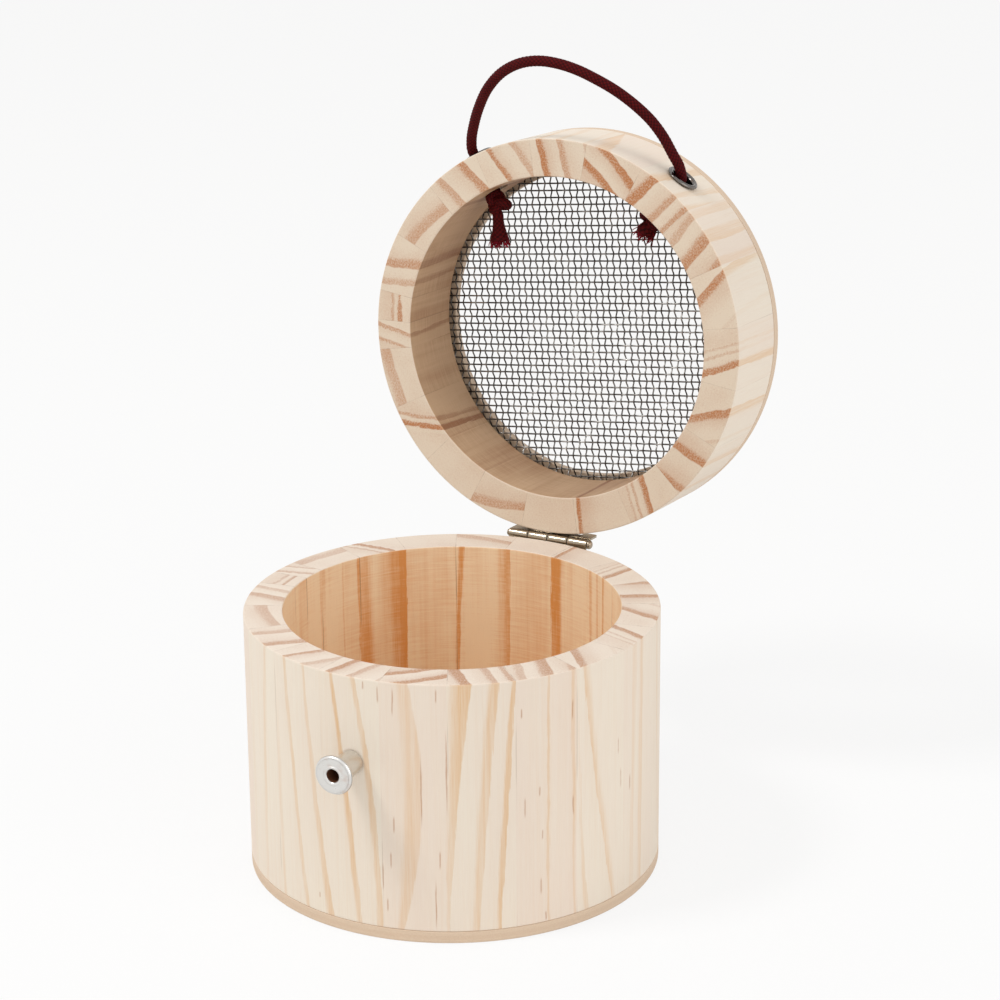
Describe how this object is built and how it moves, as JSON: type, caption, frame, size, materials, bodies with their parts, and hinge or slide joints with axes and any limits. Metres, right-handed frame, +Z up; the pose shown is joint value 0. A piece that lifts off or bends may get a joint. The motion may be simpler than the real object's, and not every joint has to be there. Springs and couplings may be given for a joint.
{
  "type": "insect cage",
  "caption": "Round pine insect cage with a ply bottom and a hinged lid that holds a wire mesh disc; an elastic cord through eyelets in the lid hooks over a stud on the front.",
  "frame": {"origin": "centre of the cup's underside, where it stands on the table", "axes": "+Z up; -Y towards the front with the catch stud; the hinge is at +Y and its axis runs along X"},
  "size_m": [0.1, 0.1457, 0.1878],
  "materials": {
    "pine": "smooth sanded, unvarnished",
    "ply": "sanded plywood, unvarnished",
    "wire": "bare drawn wire, plain weave",
    "nickel": "bright nickel plate",
    "dark_nickel": "dark nickel plate",
    "elastic": "braided textile over rubber"
  },
  "bodies": {
    "cup": {"base_wall": "pine", "bottom_plate": "ply", "catch_stud": "nickel", "hinge_leaf_base": "nickel", "hinge_pin": "nickel", "hinge_screw_base_left": "nickel", "hinge_screw_base_right": "nickel"},
    "lid": {"lid_ring": "pine", "mesh_retainer": "ply", "wire_mesh": "wire", "hinge_leaf_lid": "nickel", "hinge_screw_lid_left": "nickel", "hinge_screw_lid_right": "nickel", "eyelet_left": "dark_nickel", "eyelet_right": "dark_nickel", "handle_cord": "elastic", "cord_knot_left": "elastic", "cord_knot_right": "elastic"}
  },
  "joints": [
    {"name": "lid_hinge", "type": "hinge", "parent": "cup", "child": "lid", "pos_m": [0, 0.05145, 0.06495], "axis": [1, 0, 0], "range_deg": [-90, 95.2]}
  ]
}
